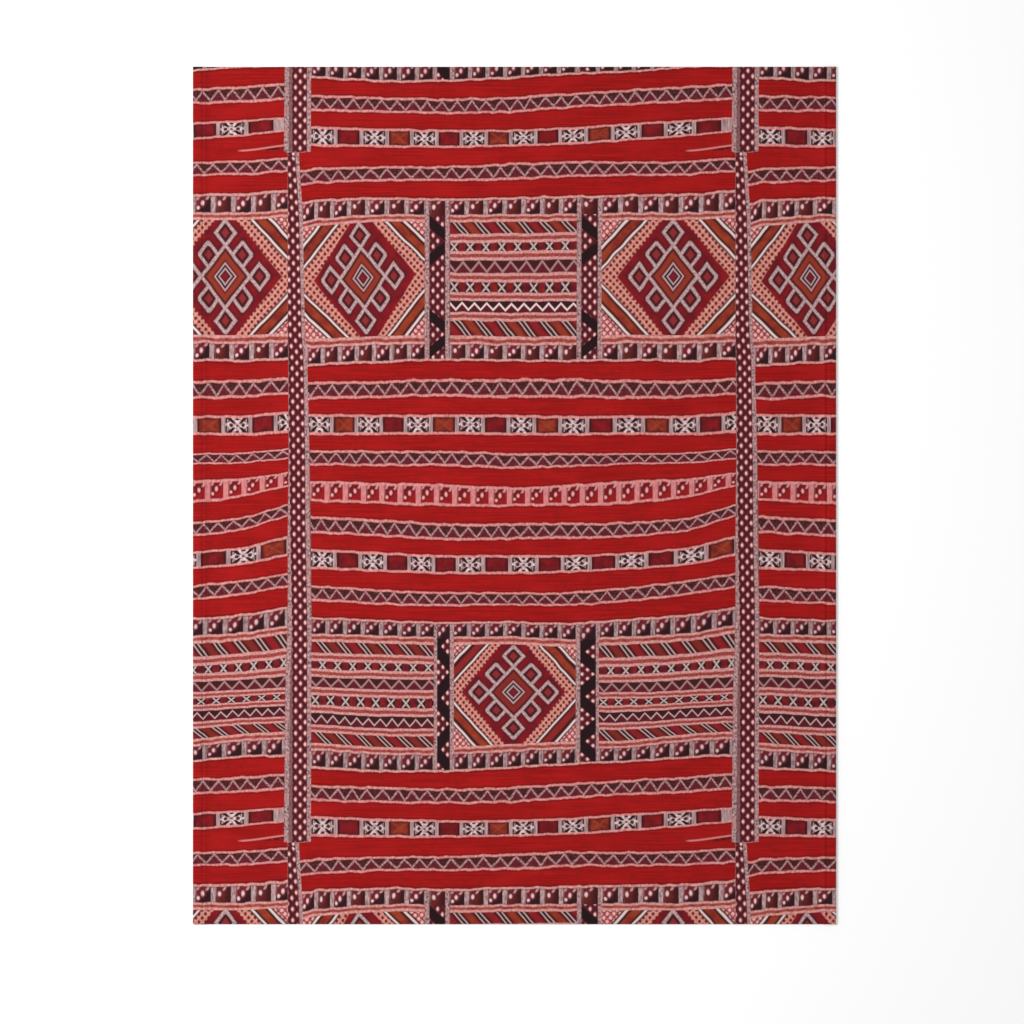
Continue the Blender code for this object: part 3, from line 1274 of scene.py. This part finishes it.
def fleece(name, printed):
    """Short-napped fleece with a print: nap, faint sheen, and the stitch line of both hems, with painted
    shade in its groove.
    """
    finish = Finish("fleece_" + name)
    colour = printed(finish)
    x, y = finish.apart(finish.object_place())
    nap = finish.noise((900.0, 900.0, 900.0), 2.0, 0.6)
    inset = WIDTH / 2000.0 - abs(x)
    dash = near(from_middle(y * (1000.0 / STITCH_LENGTH)), 0.36, 0.12)
    sewn = near(inset - STITCH_FROM_FOLD / 1000.0, 0.0006, 0.0006)
    # Darker along the stitch line: the dashes by the darker thread, and the whole sunk groove by painted
    # shade
    strength = (0.93 + nap * 0.14) * (1.0 - sewn * (0.1 + dash * 0.14))
    pile = finish.noise((620.0, 620.0, 620.0), 3.0, 0.65)
    relief = pile + sewn * dash * 0.9
    bump = finish.add("ShaderNodeBump", inputs={"Strength": 0.35, "Distance": 0.0005, "Height": relief})
    finish.look(
        {
            "Base Color": finish.scaled(colour, strength),
            "Roughness": 0.94,
            "Specular IOR Level": 0.12,
            "Sheen Weight": 0.04,
            "Sheen Roughness": 0.45,
            "Normal": bump.outputs[0],
        }
    )
    return finish.material


# Printed areas of the throw, each with its own material
PRINTS = {
    "ground": red_ground,
    "zigzag": zigzag_band,
    "squares": squares_band,
    "boxes_over_braid": lambda finish: dark_boxes(finish, True),
    "boxes_under_braid": lambda finish: dark_boxes(finish, False),
    "pink_boxes": pink_boxes,
    "left_diamond": lambda finish: hooked_diamond(
        finish,
        rhombus=(0.439, 0.428),
        stripes=(0.414, 0.5025),
        knots=(3.43, 4.05),
        second_line=1.675,
        shift=0.1,
    ),
    "middle_diamond": lambda finish: hooked_diamond(
        finish,
        rhombus=(0.474, 0.41),
        stripes=(0.480, 0.451),
        knots=(4.17, 3.76),
        second_line=1.695,
        crimson_share=0.8,
    ),
    "right_diamond": lambda finish: hooked_diamond(
        finish, rhombus=(0.427, 0.448), stripes=(0.408, 0.495), knots=(3.66, 4.16), second_line=1.665
    ),
    "left_stripes": lambda finish: striped_panel(finish, slash=(-0.3, -0.44)),
    "middle_stripes": lambda finish: striped_panel(
        finish,
        slash=(0.03, 0.03),
        peak=0.55,
        second_row=0.0,
        bold_peak=0.49,
        bold_reach=0.013,
        bold_tone=PALE,
        warm_tone=(150, 56, 38),
    ),
    "right_stripes": lambda finish: striped_panel(finish, slash=(-0.66, -0.78)),
    "long_net": long_net,
    "slow_wave_net": lambda finish: wave_net(finish, 7.33, (1.0, 1.95), (0.24, 0.3), (8.4, 0.5)),
    "quick_wave_net": lambda finish: wave_net(finish, 3.45, (0.95, 2.03), (0.12, 0.36), (5.0, 0.0)),
    "strip": grey_rose_strip,
    "stray_line": stray_line,
    "back": fleece_back,
}
AREAS = tuple(PRINTS)


def printed_throw():
    """The throw as one sheet of printed fleece."""
    throw = bpy.data.objects.new("printed_throw", laid_sheet())
    bpy.context.scene.collection.objects.link(throw)
    for area in AREAS:
        throw.data.materials.append(fleece(area, PRINTS[area]))
    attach(throw, "root")
    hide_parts("throw_blanket")


def floor():
    """Plain pale floor."""
    bpy.ops.mesh.primitive_plane_add(size=12.0, location=(0.0, 0.0, 0.0))
    ground = bpy.context.object
    ground.name = "floor"
    finish = Finish("pale_floor")
    finish.look(
        {
            "Base Color": (0.94, 0.94, 0.94, 1.0),
            "Roughness": 0.9,
            "Specular IOR Level": 0.1,
            "Emission Color": (1.0, 1.0, 1.0, 1.0),
            "Emission Strength": 0.14,
        }
    )
    ground.data.materials.append(finish.material)


def light():
    """Even pale surroundings, and one large soft lamp at the left, so the right side is a little darker."""
    world = bpy.data.worlds.new("studio")
    bpy.context.scene.world = world
    world.use_nodes = True
    background = world.node_tree.nodes["Background"]
    background.inputs["Color"].default_value = (1.0, 1.0, 1.0, 1.0)
    background.inputs["Strength"].default_value = 0.56
    lamp = bpy.data.lights.new("soft_lamp", "AREA")
    lamp.shape = "DISK"
    lamp.size = 1.2
    lamp.energy = 44.0
    holder = bpy.data.objects.new("soft_lamp", lamp)
    holder.location = (-1.6, 0.3, 2.0)
    holder.rotation_euler = (-holder.location).to_track_quat("-Z", "Y").to_euler()
    bpy.context.scene.collection.objects.link(holder)
    bpy.context.scene.view_settings.view_transform = "Standard"


def camera():
    """Long lens straight above the throw."""
    picture_pixels = 1024.0
    throw_pixels = 643.0
    pixel = WIDTH / 1000.0 / throw_pixels
    distance = 7.0
    lens = bpy.data.cameras.new("camera")
    lens.sensor_fit = "HORIZONTAL"
    lens.angle = 2.0 * math.atan(picture_pixels / 2.0 * pixel / distance)
    lens.clip_end = 60.0
    view = bpy.data.objects.new("camera", lens)
    view.location = (-2.5 * pixel, -16.5 * pixel, distance)
    bpy.context.scene.collection.objects.link(view)
    bpy.context.scene.camera = view


bpy.ops.object.select_all(action="DESELECT")
floor()
light()
camera()
printed_throw()
